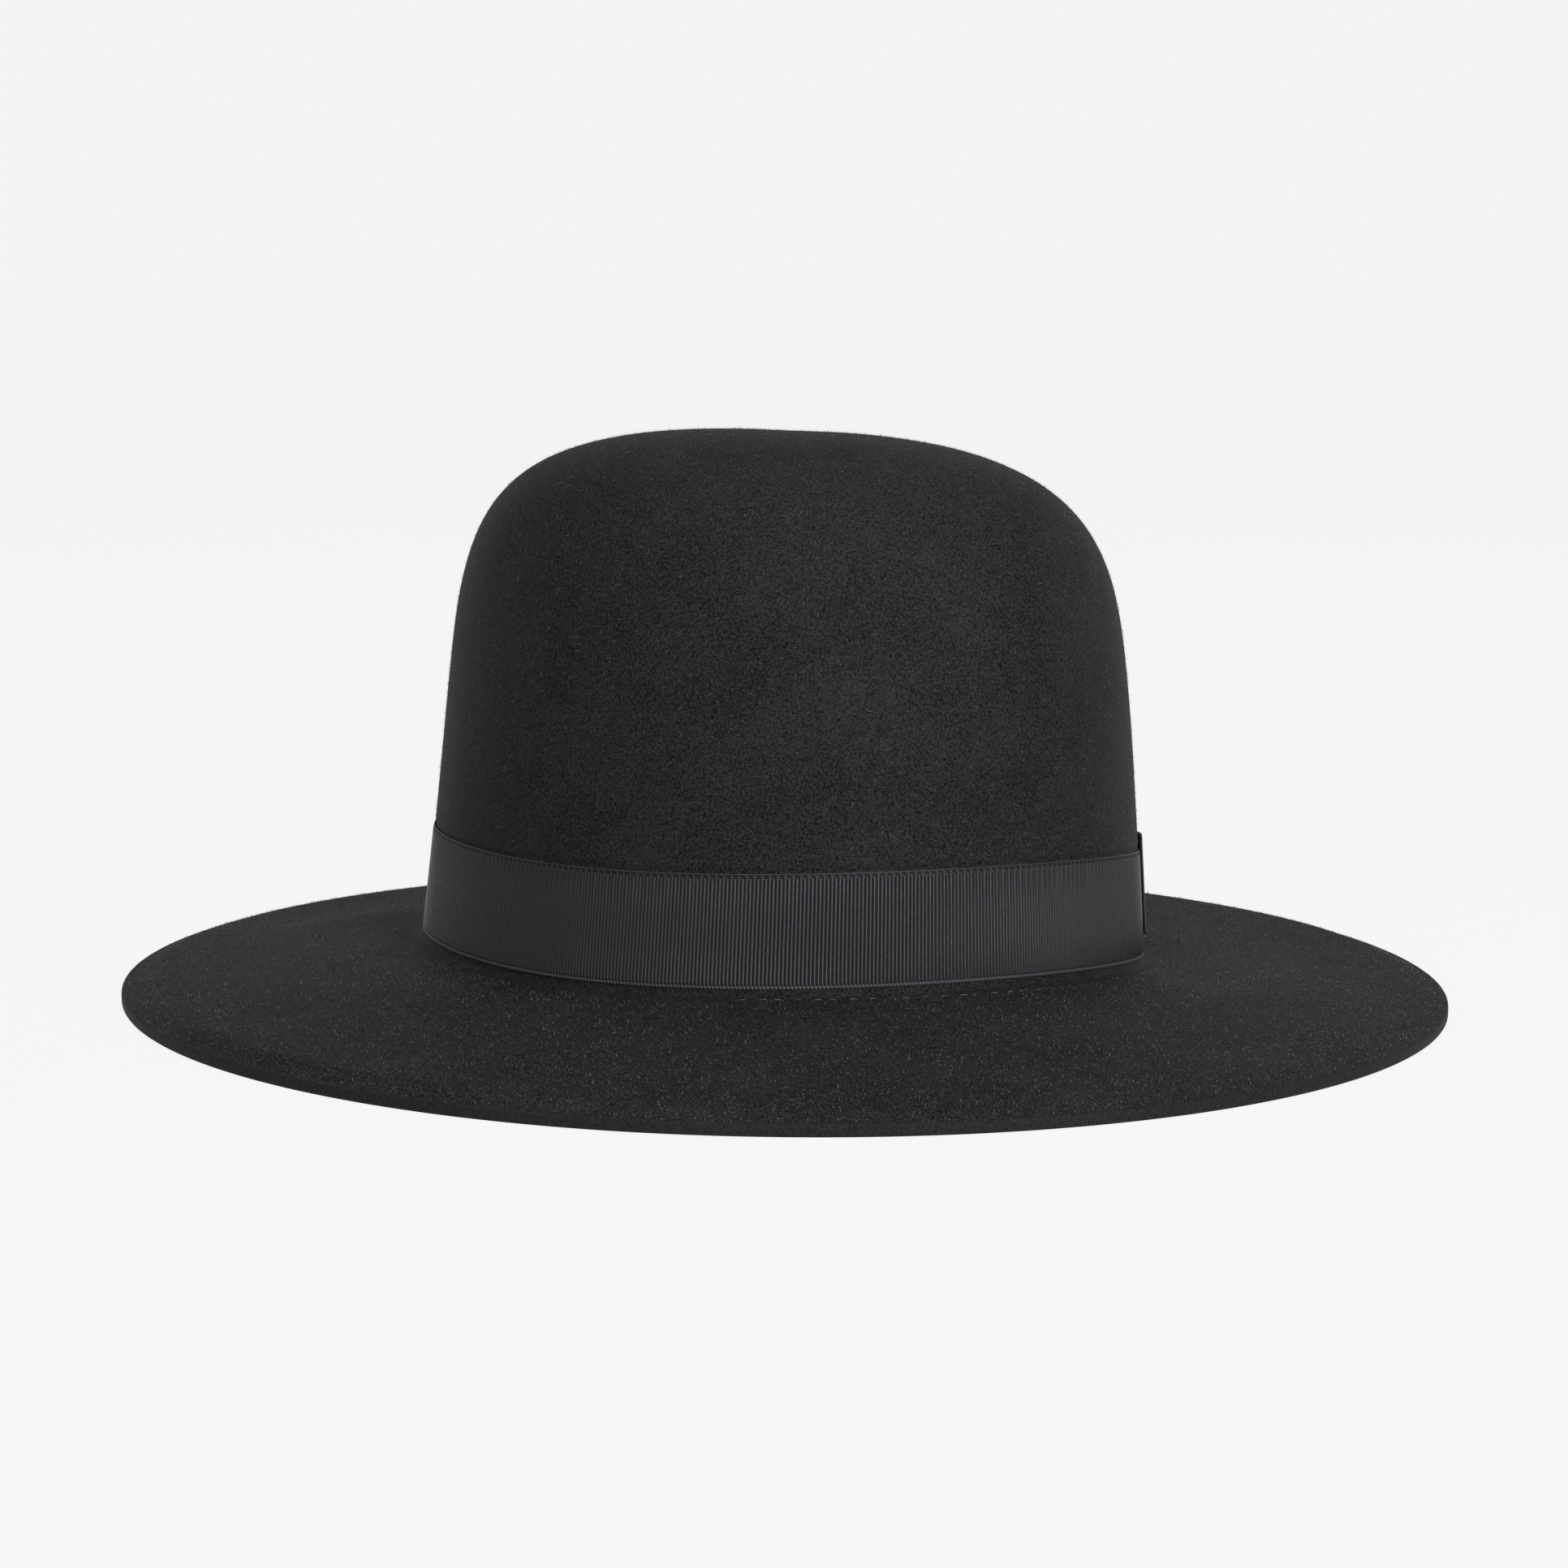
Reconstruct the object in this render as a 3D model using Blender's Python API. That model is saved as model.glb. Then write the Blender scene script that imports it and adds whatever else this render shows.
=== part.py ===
"""Felt hat: tall open crown, wide brim, ribbon band, flat bow at the wearer's left, sweatband inside.

Run with blender --background --python part.py. Lengths are metres and +Z is up. The brim's rim rests
on z = 0, -Y is the front and +X is the wearer's left. A direction round the hat is an angle in radians
from +X towards +Y. A rise is a height above the band's lower line, along the tilted crown.
"""

import math

import bpy
import numpy as np

MM = 0.001

# Felt, measured on its outside where the crown meets the brim
OVAL_LENGTH = 198.4 * MM
OVAL_WIDTH = 177.2 * MM
CROWN_HEIGHT = 126.5 * MM
BRIM_WIDTH = 74.1 * MM
FELT = 2.8 * MM

# Crown section: how much it narrows, how square its shoulder is, and how far its top drifts
CROWN_TAPER = 0.111
SHOULDER_RISE_POWER = 7.87
SHOULDER_WIDTH_POWER = 2.8
TOP_DRIFT_LEFT = -3.4 * MM
TOP_DRIFT_BACK = 1.4 * MM

# How the crown stands on the brim
BREAK_RISE = 11.9 * MM
LEAN_BACK = math.radians(2.8)
LEAN_LEFT = math.radians(2.8)
BREAK_DROP = 1.5 * MM
BREAK_RADIUS = 1.8 * MM

# Band's lower line off the crown's own plane, as shares of BREAK_RISE, every 30 degrees from +X
BAND_LINE = (0.04, 0.10, 0.13, 0.13, 0.13, 0.08, -0.05, -0.19, -0.13, 0.07, 0.20, 0.13)

# Soft folds across the brim: direction in degrees, half spread in degrees, where the fold's middle lies
# and its half length as shares of the brim's width, and its height as a share of the felt
BRIM_FOLDS = (
    (148, 9, 0.30, 0.34, 0.42),
    (128, 14, 0.55, 0.40, -0.16),
    (318, 22, 0.55, 0.45, 0.18),
)

# Rim: rounded cut edge, flat foot under it, and the curl that turns the last of the brim down
RIM_ROUND = 0.5 * MM
RIM_FOOT = 1.6 * MM
CURL_RISE = 1.9 * MM
CURL_WIDTH = 6.0 * MM
# How strong the curl is, every 30 degrees from +X
CURL_STRENGTH = (0.75, 0.70, 0.60, 0.50, 0.50, 0.50, 0.60, 1.00, 0.75, 0.25, 0.05, 0.25)

# Ribbon band, pressed a little into the felt
GAP = 0.3 * MM
BAND_HEIGHT = 25.9 * MM
BAND_CLOTH = 1.0 * MM
BAND_PRESS = 0.9 * MM
PRESS_FADE = 2.5 * MM

# Flat bow of the same ribbon, over the band's join
BOW_DIRECTION = math.radians(0)
BOW_LENGTH = 58.0 * MM
BOW_LIFT = 3.5 * MM
BOW_FOLDED = 1.0 * MM
KNOT_LENGTH = 12.0 * MM
KNOT_CLOTH = 1.0 * MM

# Sweatband, sewn inside at the break
SWEAT_HEIGHT = 32.0 * MM
SWEAT_CLOTH = 1.0 * MM
SWEAT_LIFT = 0.5 * MM

# Facets: pieces round the hat, and rows over the dome, round the break, across the brim, down a strip
# and along the bow. FINE_STEPS is for measuring lengths along a curve.
SIDES = 72
DOME_ROWS = 13
BREAK_ROWS = 3
BRIM_ROWS = 6
STRIP_ROWS = 4
BOW_ROWS = 12
KNOT_ROWS = 4
FINE_STEPS = 2001
SHARP_ANGLE = math.radians(40)

BAND_OUTSIDE = GAP + BAND_CLOTH - BAND_PRESS
BOW_OUTSIDE = BAND_OUTSIDE + GAP + BOW_FOLDED
ROUND = np.arange(SIDES) * 2 * math.pi / SIDES


def smooth(share):
    """Rises from 0 to 1 with level ends, as share goes from 0 to 1."""
    share = np.clip(share, 0, 1)
    return share * share * (3 - 2 * share)


def round_the_hat(values, direction):
    """Smooth closed curve through evenly spaced values: the sum of cosines and sines that meets them all."""
    terms = np.fft.rfft(values) / len(values)
    total = np.full(np.shape(direction), terms[0].real)
    for order in range(1, len(terms)):
        weight = 1 if 2 * order == len(values) else 2
        turn = order * direction
        total = total + weight * (terms[order].real * np.cos(turn) - terms[order].imag * np.sin(turn))
    return total


def oval(direction, outside):
    """Point (x, y) of the break's oval moved outwards by a distance along the oval's normal."""
    across = np.stack([np.cos(direction) / OVAL_WIDTH, np.sin(direction) / OVAL_LENGTH])
    across = across / np.linalg.norm(across, axis=0)
    x = OVAL_WIDTH / 2 * np.cos(direction) + outside * across[0]
    y = OVAL_LENGTH / 2 * np.sin(direction) + outside * across[1]
    return x, y


def section_share(height):
    """Size of the crown's oval at a height: a straight taper times a rounded shoulder."""
    level = height / CROWN_HEIGHT
    shoulder = np.clip(1 - np.abs(level) ** SHOULDER_RISE_POWER, 0, 1) ** (1 / SHOULDER_WIDTH_POWER)
    return (1 - CROWN_TAPER * level) * shoulder


def stand(x, y, height):
    """Tilts a point of the upright crown back and left, and lifts it to the break."""
    y_back = y * math.cos(LEAN_BACK) + height * math.sin(LEAN_BACK)
    z_back = height * math.cos(LEAN_BACK) - y * math.sin(LEAN_BACK)
    x_left = x * math.cos(LEAN_LEFT) + z_back * math.sin(LEAN_LEFT)
    z_left = z_back * math.cos(LEAN_LEFT) - x * math.sin(LEAN_LEFT)
    return np.stack([x_left, y_back, z_left + BREAK_RISE], axis=-1)


def crown_point(direction, rise, outside=0.0):
    """Point at a direction, a rise, and a distance outside the crown's own surface."""
    line = BREAK_RISE * round_the_hat(BAND_LINE, direction)
    height = rise + line * (1 - smooth((rise - BAND_HEIGHT) / (CROWN_HEIGHT - BAND_HEIGHT)))
    share = section_share(height)
    x, y = oval(direction, 0)
    x_out, y_out = oval(direction, outside)
    drift = (height / CROWN_HEIGHT) ** 2
    return stand(
        x * share + x_out - x + TOP_DRIFT_LEFT * drift,
        y * share + y_out - y + TOP_DRIFT_BACK * drift,
        height,
    )


def dome_rises(count):
    """Rises from near the top down to just above the band's press, evenly spaced along the section."""
    turn = np.linspace(0, math.pi / 2, FINE_STEPS)
    rises = CROWN_HEIGHT * np.sin(turn) ** (2 / SHOULDER_RISE_POWER)
    radii = OVAL_LENGTH / 2 * section_share(rises)
    along = np.concatenate([[0], np.cumsum(np.hypot(np.diff(rises), np.diff(radii)))])
    start = np.interp(BAND_HEIGHT + GAP + PRESS_FADE, rises, along)
    return np.interp(np.linspace(along[-1], start, count + 1)[1:], along, rises)


def wall_rows():
    """Rises and distances outside the crown for the stretch that the band presses in."""
    band_top = BAND_HEIGHT + GAP
    foot = BREAK_RADIUS - BREAK_DROP
    rises = (band_top, (2 * band_top + foot) / 3, (band_top + 2 * foot) / 3, foot)
    return [(rise, -BAND_PRESS) for rise in rises]


def brim_height(direction, share, from_edge):
    """Height that folds and the curled rim add to the straight brim."""
    added = np.zeros_like(direction)
    for fold_direction, spread, middle, reach, height in BRIM_FOLDS:
        turn = np.angle(np.exp(1j * (direction - math.radians(fold_direction)))) / math.radians(spread)
        along = (share - middle) / reach
        added = added + height * FELT * np.exp(-(turn**2)) * smooth(1 - np.abs(along))
    curl = CURL_RISE * round_the_hat(CURL_STRENGTH, direction)
    return added + curl * smooth(from_edge / CURL_WIDTH)


def felt_upper_rows():
    """Rings of the felt's outer side from the crown's top to the rim, and the brim rings' edge distances."""
    rings = [crown_point(ROUND, rise) for rise in dome_rises(DOME_ROWS)]
    rings += [crown_point(ROUND, rise, outside) for rise, outside in wall_rows()]
    corner = crown_point(ROUND, -BREAK_DROP, -BAND_PRESS)
    edge = np.stack([*oval(ROUND, BRIM_WIDTH - RIM_ROUND), np.full(SIDES, FELT)], axis=-1)
    span = np.linalg.norm(edge - corner, axis=1, keepdims=True)
    brim_start = corner + (edge - corner) * BREAK_RADIUS / span
    # The rounded corner is a weighted mean of the wall's foot, the sharp corner and the brim's start.
    wall_foot = rings[-1]
    for turn in np.linspace(0, 1, BREAK_ROWS + 1)[1:]:
        near, mid, far = (1 - turn) ** 2, 2 * turn * (1 - turn), turn**2
        rings.append(near * wall_foot + mid * corner + far * brim_start)
    edge_distances = list(np.linspace(1, 0, BRIM_ROWS + 1)[1:-1] * (BRIM_WIDTH - CURL_WIDTH) + CURL_WIDTH)
    edge_distances += [CURL_WIDTH, CURL_WIDTH / 2, RIM_ROUND]
    for from_edge in edge_distances:
        share = 1 - (from_edge - RIM_ROUND) / (BRIM_WIDTH - RIM_ROUND)
        ring = brim_start + (edge - brim_start) * share
        ring[:, 2] += brim_height(ROUND, share, from_edge - RIM_ROUND)
        rings.append(ring)
    return np.array(rings), edge_distances


def surface_normals(rings, top):
    """Unit normals of the outer side, from each point's neighbours round the hat and along the section."""
    padded = np.concatenate([np.tile(top, (1, SIDES, 1)), rings, rings[-1:]])
    down = padded[2:] - padded[:-2]
    around = np.roll(rings, -1, axis=1) - np.roll(rings, 1, axis=1)
    normals = np.cross(down, around)
    return normals / np.linalg.norm(normals, axis=2, keepdims=True)


def rim_rows():
    """Rings round the cut edge: down its rounded face and in under it to the end of the flat foot."""
    section = (
        (0.0, FELT - RIM_ROUND),
        (0.0, RIM_ROUND),
        (RIM_ROUND, 0.0),
        (RIM_ROUND + RIM_FOOT, 0.0),
    )
    return [
        np.stack([*oval(ROUND, BRIM_WIDTH - inwards), np.full(SIDES, height)], axis=-1)
        for inwards, height in section
    ]


def add_object(name, points, faces, material):
    """Makes one smooth-shaded object with its origin at the world's."""
    mesh = bpy.data.meshes.new(name)
    mesh.from_pydata([tuple(point) for point in points], [], faces)
    mesh.validate()
    mesh.shade_smooth()
    mesh.set_sharp_from_angle(angle=SHARP_ANGLE)
    mesh.materials.append(material)
    made = bpy.data.objects.new(name, mesh)
    bpy.context.scene.collection.objects.link(made)
    return made


def ring_faces(rows, count, closed_rows, closed_count):
    """Four-sided faces between rows of points, each row holding count points."""
    faces = []
    for row in range(rows if closed_rows else rows - 1):
        below = (row + 1) % rows
        for column in range(count if closed_count else count - 1):
            beside = (column + 1) % count
            faces.append(
                (
                    row * count + column,
                    below * count + column,
                    below * count + beside,
                    row * count + beside,
                )
            )
    return faces


def felt_body(material):
    """Crown and brim: one piece of felt, hollow from below."""
    top = crown_point(np.zeros(1), CROWN_HEIGHT)
    upper, edge_distances = felt_upper_rows()
    normals = surface_normals(upper, top)
    kept = len(upper) - sum(distance < RIM_ROUND + RIM_FOOT + FELT / 2 for distance in edge_distances)
    under = (upper - FELT * normals)[:kept][::-1]
    rings = np.concatenate([upper, rim_rows(), under])
    faces = ring_faces(len(rings), SIDES, closed_rows=False, closed_count=True)
    outer_pole = rings.shape[0] * SIDES
    inner_pole = outer_pole + 1
    last = outer_pole - SIDES
    for column in range(SIDES):
        beside = (column + 1) % SIDES
        faces.append((outer_pole, column, beside))
        faces.append((inner_pole, last + beside, last + column))
    poles = np.concatenate([top, top - FELT * (stand(0, 0, 1) - stand(0, 0, 0))])
    return add_object("felt_body", np.concatenate([rings.reshape(-1, 3), poles]), faces, material)


def cloth_ring(name, low, high, inner, outer, material):
    """A strip of even thickness that follows the crown all the way round, between two rises."""
    down = [(rise, outer) for rise in np.linspace(high, low, STRIP_ROWS)]
    up = [(rise, inner) for rise in np.linspace(low, high, STRIP_ROWS)]
    rings = np.array([crown_point(ROUND, rise, outside) for rise, outside in down + up])
    faces = ring_faces(len(rings), SIDES, closed_rows=True, closed_count=True)
    return add_object(name, rings.reshape(-1, 3), faces, material)


def ribbon_band(material):
    """Ribbon round the foot of the crown."""
    inner = GAP - BAND_PRESS
    return cloth_ring("ribbon_band", 0, BAND_HEIGHT, inner, BAND_OUTSIDE, material)


def sweatband(material):
    """Strip that stands inside the crown, against the felt."""
    outer = -BAND_PRESS - FELT - GAP
    high = SWEAT_LIFT + SWEAT_HEIGHT
    return cloth_ring("sweatband", SWEAT_LIFT, high, outer - SWEAT_CLOTH, outer, material)


def bow_directions(distances):
    """Directions at distances along the band's outside from the bow's middle."""
    turn = np.linspace(-math.pi / 2, math.pi / 2, FINE_STEPS) + BOW_DIRECTION
    x, y = oval(turn, BAND_OUTSIDE)
    along = np.concatenate([[0], np.cumsum(np.hypot(np.diff(x), np.diff(y)))])
    middle = np.interp(BOW_DIRECTION, turn, along)
    return np.interp(middle + np.asarray(distances), along, turn)


def add_bow_piece(name, distances, sections, material):
    """Piece that runs along the band: one closed section of (rise, outside) points at each distance."""
    directions = bow_directions(distances)
    rows = []
    for direction, section in zip(directions, sections):
        rises, outsides = np.array(section).T
        rows.append(crown_point(np.full(len(section), direction), rises, outsides))
    count = len(sections[0])
    faces = ring_faces(len(rows), count, closed_rows=False, closed_count=True)
    faces.append(tuple(range(count)))
    faces.append(tuple(reversed(range((len(rows) - 1) * count, len(rows) * count))))
    return add_object(name, np.concatenate(rows), faces, material)


def bow_loops(material):
    """Ribbon folded flat into two loops, thinnest at the folds."""
    inner = BAND_OUTSIDE + GAP
    half = BOW_LENGTH / 2
    fold = BOW_FOLDED / 2
    body = np.linspace(-half + fold, half - fold, BOW_ROWS)
    distances = np.concatenate([[-half], body, [half]])
    sections = []
    for distance in distances:
        inset = 0.55 * fold if abs(distance) > half - fold / 2 else 0.0
        low, high = BOW_LIFT, BOW_LIFT + BAND_HEIGHT
        near, far = inner + inset, inner + BOW_FOLDED - inset
        sections.append([(low, near), (low, far), (high, far), (high, near)])
    return add_bow_piece("bow_loops", distances, sections, material)


def bow_knot(material):
    """Short strip over the middle of the loops, turned in above and below them."""
    loop_face = BOW_OUTSIDE + GAP
    face = loop_face + KNOT_CLOTH
    low, high = BOW_LIFT - GAP, BOW_LIFT + BAND_HEIGHT + GAP
    foot, head = BAND_OUTSIDE + GAP, GAP
    section = [
        (high, head),
        (high, loop_face),
        (low, loop_face),
        (low, foot),
        (low - KNOT_CLOTH, foot),
        (low - KNOT_CLOTH, face),
        (high + KNOT_CLOTH, face),
        (high + KNOT_CLOTH, head),
    ]
    distances = np.linspace(-KNOT_LENGTH / 2, KNOT_LENGTH / 2, KNOT_ROWS)
    return add_bow_piece("bow_knot", distances, [section] * len(distances), material)


def surface_material(name, colour, roughness):
    """Plain non-metal surface."""
    made = bpy.data.materials.new(name)
    made.use_nodes = True
    shader = made.node_tree.nodes["Principled BSDF"]
    shader.inputs["Base Color"].default_value = (*colour, 1)
    shader.inputs["Roughness"].default_value = roughness
    shader.inputs["Metallic"].default_value = 0.0
    made.diffuse_color = (*colour, 1)
    return made


def clear_scene():
    """Removes every object that the scene holds."""
    for found in list(bpy.data.objects):
        bpy.data.objects.remove(found, do_unlink=True)


clear_scene()
felt_body(surface_material("felt", (0.019, 0.019, 0.021), 0.95))
ribbon = surface_material("ribbon", (0.036, 0.039, 0.044), 0.6)
ribbon_band(ribbon)
bow_loops(ribbon)
bow_knot(ribbon)
sweatband(surface_material("sweatband_leather", (0.016, 0.015, 0.015), 0.5))
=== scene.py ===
"""Looks of the felt hat: napped felt, ribbed ribbon with its woven edges, bow, sweatband, stitches, lint.

Every new piece is a grid worked out with numpy from two parameters: a direction round the hat and a
place along the hat's section, or a distance along a strip and a place across it. Lengths are metres.
A direction is an angle in radians from +X (the wearer's left) towards +Y (the back). A rise is a height
above the band's lower line, along the tilted crown, and outside is a distance out of the crown's side.
"""

import math

import bpy
import numpy as np
from mathutils import Matrix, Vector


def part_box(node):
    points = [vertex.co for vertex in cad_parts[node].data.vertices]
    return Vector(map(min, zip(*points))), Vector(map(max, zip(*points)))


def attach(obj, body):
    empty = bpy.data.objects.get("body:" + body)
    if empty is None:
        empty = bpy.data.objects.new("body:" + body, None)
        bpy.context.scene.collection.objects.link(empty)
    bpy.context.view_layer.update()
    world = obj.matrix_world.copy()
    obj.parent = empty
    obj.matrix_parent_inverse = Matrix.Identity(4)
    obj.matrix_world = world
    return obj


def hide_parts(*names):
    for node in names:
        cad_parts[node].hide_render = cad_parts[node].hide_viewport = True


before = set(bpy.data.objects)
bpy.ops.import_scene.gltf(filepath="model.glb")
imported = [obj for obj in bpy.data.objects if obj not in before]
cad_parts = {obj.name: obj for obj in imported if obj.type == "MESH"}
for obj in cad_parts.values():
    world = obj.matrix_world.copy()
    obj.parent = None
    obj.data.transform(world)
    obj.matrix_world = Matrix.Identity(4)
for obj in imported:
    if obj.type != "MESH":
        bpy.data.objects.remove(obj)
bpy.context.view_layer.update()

MM = 0.001
TURN = 2 * math.pi

# The hat's own sizes, as its solids have them
felt_low, felt_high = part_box("felt_body")
BRIM_WIDTH = 74.1 * MM
OVAL_WIDTH = felt_high[0] - felt_low[0] - 2 * BRIM_WIDTH
OVAL_LENGTH = felt_high[1] - felt_low[1] - 2 * BRIM_WIDTH
CROWN_HEIGHT = 126.5 * MM
FELT = 2.8 * MM
CROWN_TAPER = 0.111
SHOULDER_RISE_POWER = 7.87
SHOULDER_WIDTH_POWER = 2.8
TOP_DRIFT_LEFT = -3.4 * MM
TOP_DRIFT_BACK = 1.4 * MM
BREAK_RISE = 11.9 * MM
LEAN_BACK = math.radians(2.8)
LEAN_LEFT = math.radians(2.8)
BREAK_DROP = 1.5 * MM
BREAK_RADIUS = 2.0 * MM
INNER_BREAK_RADIUS = 6.0 * MM
# Height of the band's lower line, as a share of the break's rise, every 30 degrees from +X
BAND_LINE = (0.04, 0.10, 0.13, 0.13, 0.13, 0.08, -0.05, -0.19, -0.13, 0.07, 0.20, 0.13)
# Folds of the brim: direction and spread in degrees, middle and reach as shares of the brim, and a height
# as a share of the felt's thickness
BRIM_FOLDS = (
    (148, 9, 0.30, 0.34, 0.42),
    (128, 14, 0.55, 0.40, -0.16),
    (318, 22, 0.55, 0.45, 0.18),
)
RIM_ROUND = 0.6 * MM
RIM_FOOT = 1.6 * MM
CURL_RISE = 1.9 * MM
CURL_WIDTH = 6.0 * MM
CURL_START = 0.22
# Strength of the curl at the rim, every 30 degrees from +X
CURL_STRENGTH = (0.75, 0.70, 0.60, 0.50, 0.50, 0.50, 0.60, 1.00, 0.75, 0.25, 0.05, 0.25)
# Waves left by blocking: waves round the hat, their start, waves up it, their start, height
BLOCKING_WAVES = (
    (2, 0.7, 5.1, 0.4, 0.16 * MM),
    (3, -1.1, 8.3, 2.0, 0.12 * MM),
    (5, 2.2, 12.7, 1.1, 0.07 * MM),
)

# Band, bow and sweatband. The ribbon is as thin as the real one, with its outside where the solid has it.
BAND_HEIGHT = 25.9 * MM
BAND_OUTSIDE = 0.4 * MM
RIBBON = 0.4 * MM
BAND_PRESS = 0.25 * MM
PRESS_FADE = 1.2 * MM
INNER_PRESS = 0.9 * MM
INNER_PRESS_FADE = 14.0 * MM
GAP = 0.3 * MM
BOW_LENGTH = 58.0 * MM
BOW_LIFT = 3.5 * MM
BOW_FOLDED = 1.0 * MM
KNOT_LENGTH = 12.0 * MM
SWEAT_HEIGHT = 32.0 * MM
SWEAT_CLOTH = 1.0 * MM
SWEAT_LIFT = 0.5 * MM
SWEAT_RIPPLES = ((7, 0.5, 0.12 * MM), (11, 0.0, 0.08 * MM))
BOW_PUFF = 0.35 * MM
BOW_PUFF_START = 8.0 * MM
BOW_PUFF_END = 9.0 * MM
KNOT_BEND = 0.6 * MM
KNOT_WAIST = 0.1
KNOT_WAIST_REACH = 8.0 * MM

# Ribbon weave
RIB_PITCH = 0.9 * MM
RIB_DEPTH = 0.3 * MM
RIB_PLACES = (0.0, 0.1, 0.3, 0.5, 0.7, 0.9)
WOVEN_EDGE = 1.25 * MM

# Grid counts
FELT_COLUMNS = 376
DOME_ROWS = 84
WALL_ROWS = 14
BREAK_ROWS = 10
BRIM_ROWS = 52
CURL_ROWS = 18
PRESS_ROWS = 7
SWEAT_COLUMNS = 320
FINE_STEPS = 4001

# Stitches outside the break: they lie on the felt at the front and are sunk into it elsewhere. Their
# distance out from the break, in millimetres, is given every 30 degrees from +X
STITCH_PITCH = 4.5 * MM
STITCH_LENGTH = 1.9 * MM
STITCH_THREAD = 0.22 * MM
STITCH_OUTWARD = (4.5, 4.3, 4.0, 4.0, 4.0, 4.0, 3.8, 3.2, 2.6, 3.4, 4.8, 4.8)
STITCH_LIFT = 0.14 * MM
STITCH_SINK = 0.4 * MM
STITCH_FRONT = math.radians(271)
STITCH_FRONT_REACH = math.radians(29.5)
STITCH_FADE = math.radians(9)
STITCH_STEPS = 7
STITCH_SIDES = 6

# Fibres
LINT_COUNT = 5200
LINT_ON_CROWN = 0.55
LINT_AT_RIM = 4.0
LINT_STEPS = 6
LINT_SIDES = 3
NAP_AT_RIM = 0.6
RIM_PULL_REACH = 9.0 * MM
CROWN_NAP_COUNT = 45000
BRIM_NAP_COUNT = 66000
CROWN_NAP_WIDTH = 0.042 * MM
BRIM_NAP_WIDTH = 0.07 * MM
SEED = 7

# Floor and light: strengths in watts, places in metres
FLOOR_DROP = 0.05 * MM
FLOOR_GLOW = 0.883
HORIZON_GLOW = 0.900
SKY_GLOW = 0.274
HORIZON_TOP = math.radians(9)
SKY_START = math.radians(22)
LIGHT_AIM = (0, 0, 0.07)
SOFT_BOXES = (
    # name, place, width, height, watts
    ("front_softbox", (0.32, -1.62, 0.56), 0.42, 0.95, 31.0),
    ("top_softbox", (0.1, 0.1, 1.9), 1.0, 1.0, 23.0),
    ("left_softbox", (-1.2, -1.2, 0.8), 0.8, 0.8, 5.0),
    ("right_softbox", (1.3, -1.1, 0.5), 0.8, 0.8, 2.5),
)

# Camera: where it stands round the hat, how high, how it tips, and its lens
CAMERA_TURN = math.radians(15)
CAMERA_DISTANCE = 957.1 * MM
CAMERA_HEIGHT = 176.6 * MM
CAMERA_PITCH = 0.1305
CAMERA_ROLL = 0.0043
SENSOR = 36.0
FRAME_WIDTH = 1932
LENS = SENSOR * 4783.5 / FRAME_WIDTH
SHIFT_RIGHT = 2.45 / FRAME_WIDTH

random = np.random.default_rng(SEED)


def smooth(share):
    """3 s^2 - 2 s^3 with s held between 0 and 1."""
    share = np.clip(share, 0, 1)
    return share * share * (3 - 2 * share)


def round_the_hat(values, direction):
    """Closed curve through evenly spaced values: the sum of cosines and sines that meets them all."""
    terms = np.fft.rfft(values) / len(values)
    order = np.arange(1, len(terms))
    weight = np.where(2 * order == len(values), 1, 2)
    turn = order * np.asarray(direction, float)[..., None]
    waves = terms[1:].real * np.cos(turn) - terms[1:].imag * np.sin(turn)
    return terms[0].real + (weight * waves).sum(axis=-1)


def oval(direction, outside):
    """The break's ellipse moved outwards along its normal (cos / width, sin / length)."""
    across = np.stack([np.cos(direction) / OVAL_WIDTH, np.sin(direction) / OVAL_LENGTH])
    across = across / np.linalg.norm(across, axis=0)
    x = OVAL_WIDTH / 2 * np.cos(direction) + outside * across[0]
    y = OVAL_LENGTH / 2 * np.sin(direction) + outside * across[1]
    return x, y


def section_share(height):
    """Size of the crown's oval at a height: (1 - taper h) (1 - h^n)^(1/m), h a share of the crown."""
    level = height / CROWN_HEIGHT
    shoulder = np.clip(1 - np.abs(level) ** SHOULDER_RISE_POWER, 0, 1) ** (1 / SHOULDER_WIDTH_POWER)
    return (1 - CROWN_TAPER * level) * shoulder


def stand(x, y, height):
    """Turns a point of the upright crown back about X, then left about Y, and lifts it to the break."""
    y_back = y * math.cos(LEAN_BACK) + height * math.sin(LEAN_BACK)
    z_back = height * math.cos(LEAN_BACK) - y * math.sin(LEAN_BACK)
    x_left = x * math.cos(LEAN_LEFT) + z_back * math.sin(LEAN_LEFT)
    z_left = z_back * math.cos(LEAN_LEFT) - x * math.sin(LEAN_LEFT)
    return np.stack([x_left, y_back, z_left + BREAK_RISE], axis=-1)


def crown_point(direction, rise, outside=0.0):
    """Crown at a direction and rise: the oval scaled by the section's share, plus the distance outside."""
    line = BREAK_RISE * round_the_hat(BAND_LINE, direction)
    height = rise + line * (1 - smooth((rise - BAND_HEIGHT) / (CROWN_HEIGHT - BAND_HEIGHT)))
    share = section_share(height)
    x, y = oval(direction, 0)
    x_out, y_out = oval(direction, outside)
    drift = (height / CROWN_HEIGHT) ** 2
    return stand(
        x * share + x_out - x + TOP_DRIFT_LEFT * drift,
        y * share + y_out - y + TOP_DRIFT_BACK * drift,
        height,
    )


def band_direction(distance, middle=0.0, outside=BAND_OUTSIDE):
    """Direction at a distance along the oval from a middle direction, by the oval's running length."""
    turn = np.linspace(middle - math.pi, middle + math.pi, FINE_STEPS)
    x, y = oval(turn, outside)
    along = np.concatenate([[0], np.cumsum(np.hypot(np.diff(x), np.diff(y)))])
    return np.interp(distance + np.interp(middle, turn, along), along, turn)


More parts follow.
